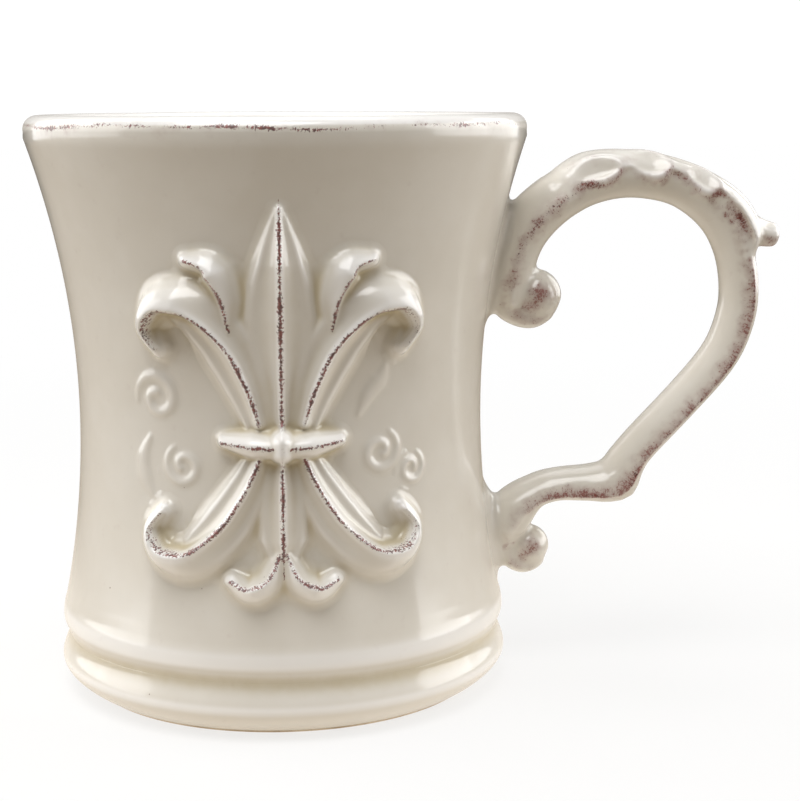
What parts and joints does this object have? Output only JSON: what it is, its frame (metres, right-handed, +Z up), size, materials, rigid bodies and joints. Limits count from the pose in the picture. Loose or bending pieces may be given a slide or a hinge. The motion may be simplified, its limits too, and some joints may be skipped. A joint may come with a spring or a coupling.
{
  "type": "footed ceramic mug",
  "caption": "Waisted, footed stoneware mug with a scrolled strap handle capped by an acanthus leaf and a sprigged lily crest on the front.",
  "frame": {"origin": "on the cup's axis at the level of the foot ring, where the mug rests on a table", "axes": "+Z up along the cup's axis, +X out through the handle, -Y out through the crest"},
  "size_m": [0.1431, 0.0938, 0.108],
  "materials": {
    "ivory_glaze": "glossy warm ivory glaze, slightly greyer where it pools",
    "stained_glaze": "glossy ivory glaze, rubbed with a maroon-brown stain along the raised edges",
    "bare_clay": "matt unglazed buff stoneware, ground flat"
  },
  "bodies": {
    "root": {"cup": "ivory_glaze", "base_bead": "ivory_glaze", "plinth": "ivory_glaze", "foot_ring": "bare_clay", "handle_strap": "stained_glaze", "upper_scroll": "stained_glaze", "upper_scroll_eye": "stained_glaze", "lower_scroll": "stained_glaze", "lower_scroll_eye": "stained_glaze", "upper_joint_slip": "ivory_glaze", "lower_joint_slip": "ivory_glaze", "handle_leaf": "stained_glaze", "handle_leaf_tip": "stained_glaze", "crest_spear": "stained_glaze", "crest_petal_left": "stained_glaze", "crest_petal_right": "stained_glaze", "crest_curl_left": "stained_glaze", "crest_curl_right": "stained_glaze", "crest_collar": "stained_glaze", "crest_pendant": "stained_glaze", "crest_tail_left": "stained_glaze", "crest_tail_right": "stained_glaze", "crest_toe_left": "stained_glaze", "crest_toe_right": "stained_glaze", "crest_bud": "stained_glaze", "scroll_left_upper": "ivory_glaze", "scroll_left_lower": "ivory_glaze", "scroll_left_leaf": "ivory_glaze", "scroll_right_upper": "ivory_glaze", "scroll_right_lower": "ivory_glaze", "scroll_right_leaf": "ivory_glaze"}
  },
  "joints": []
}
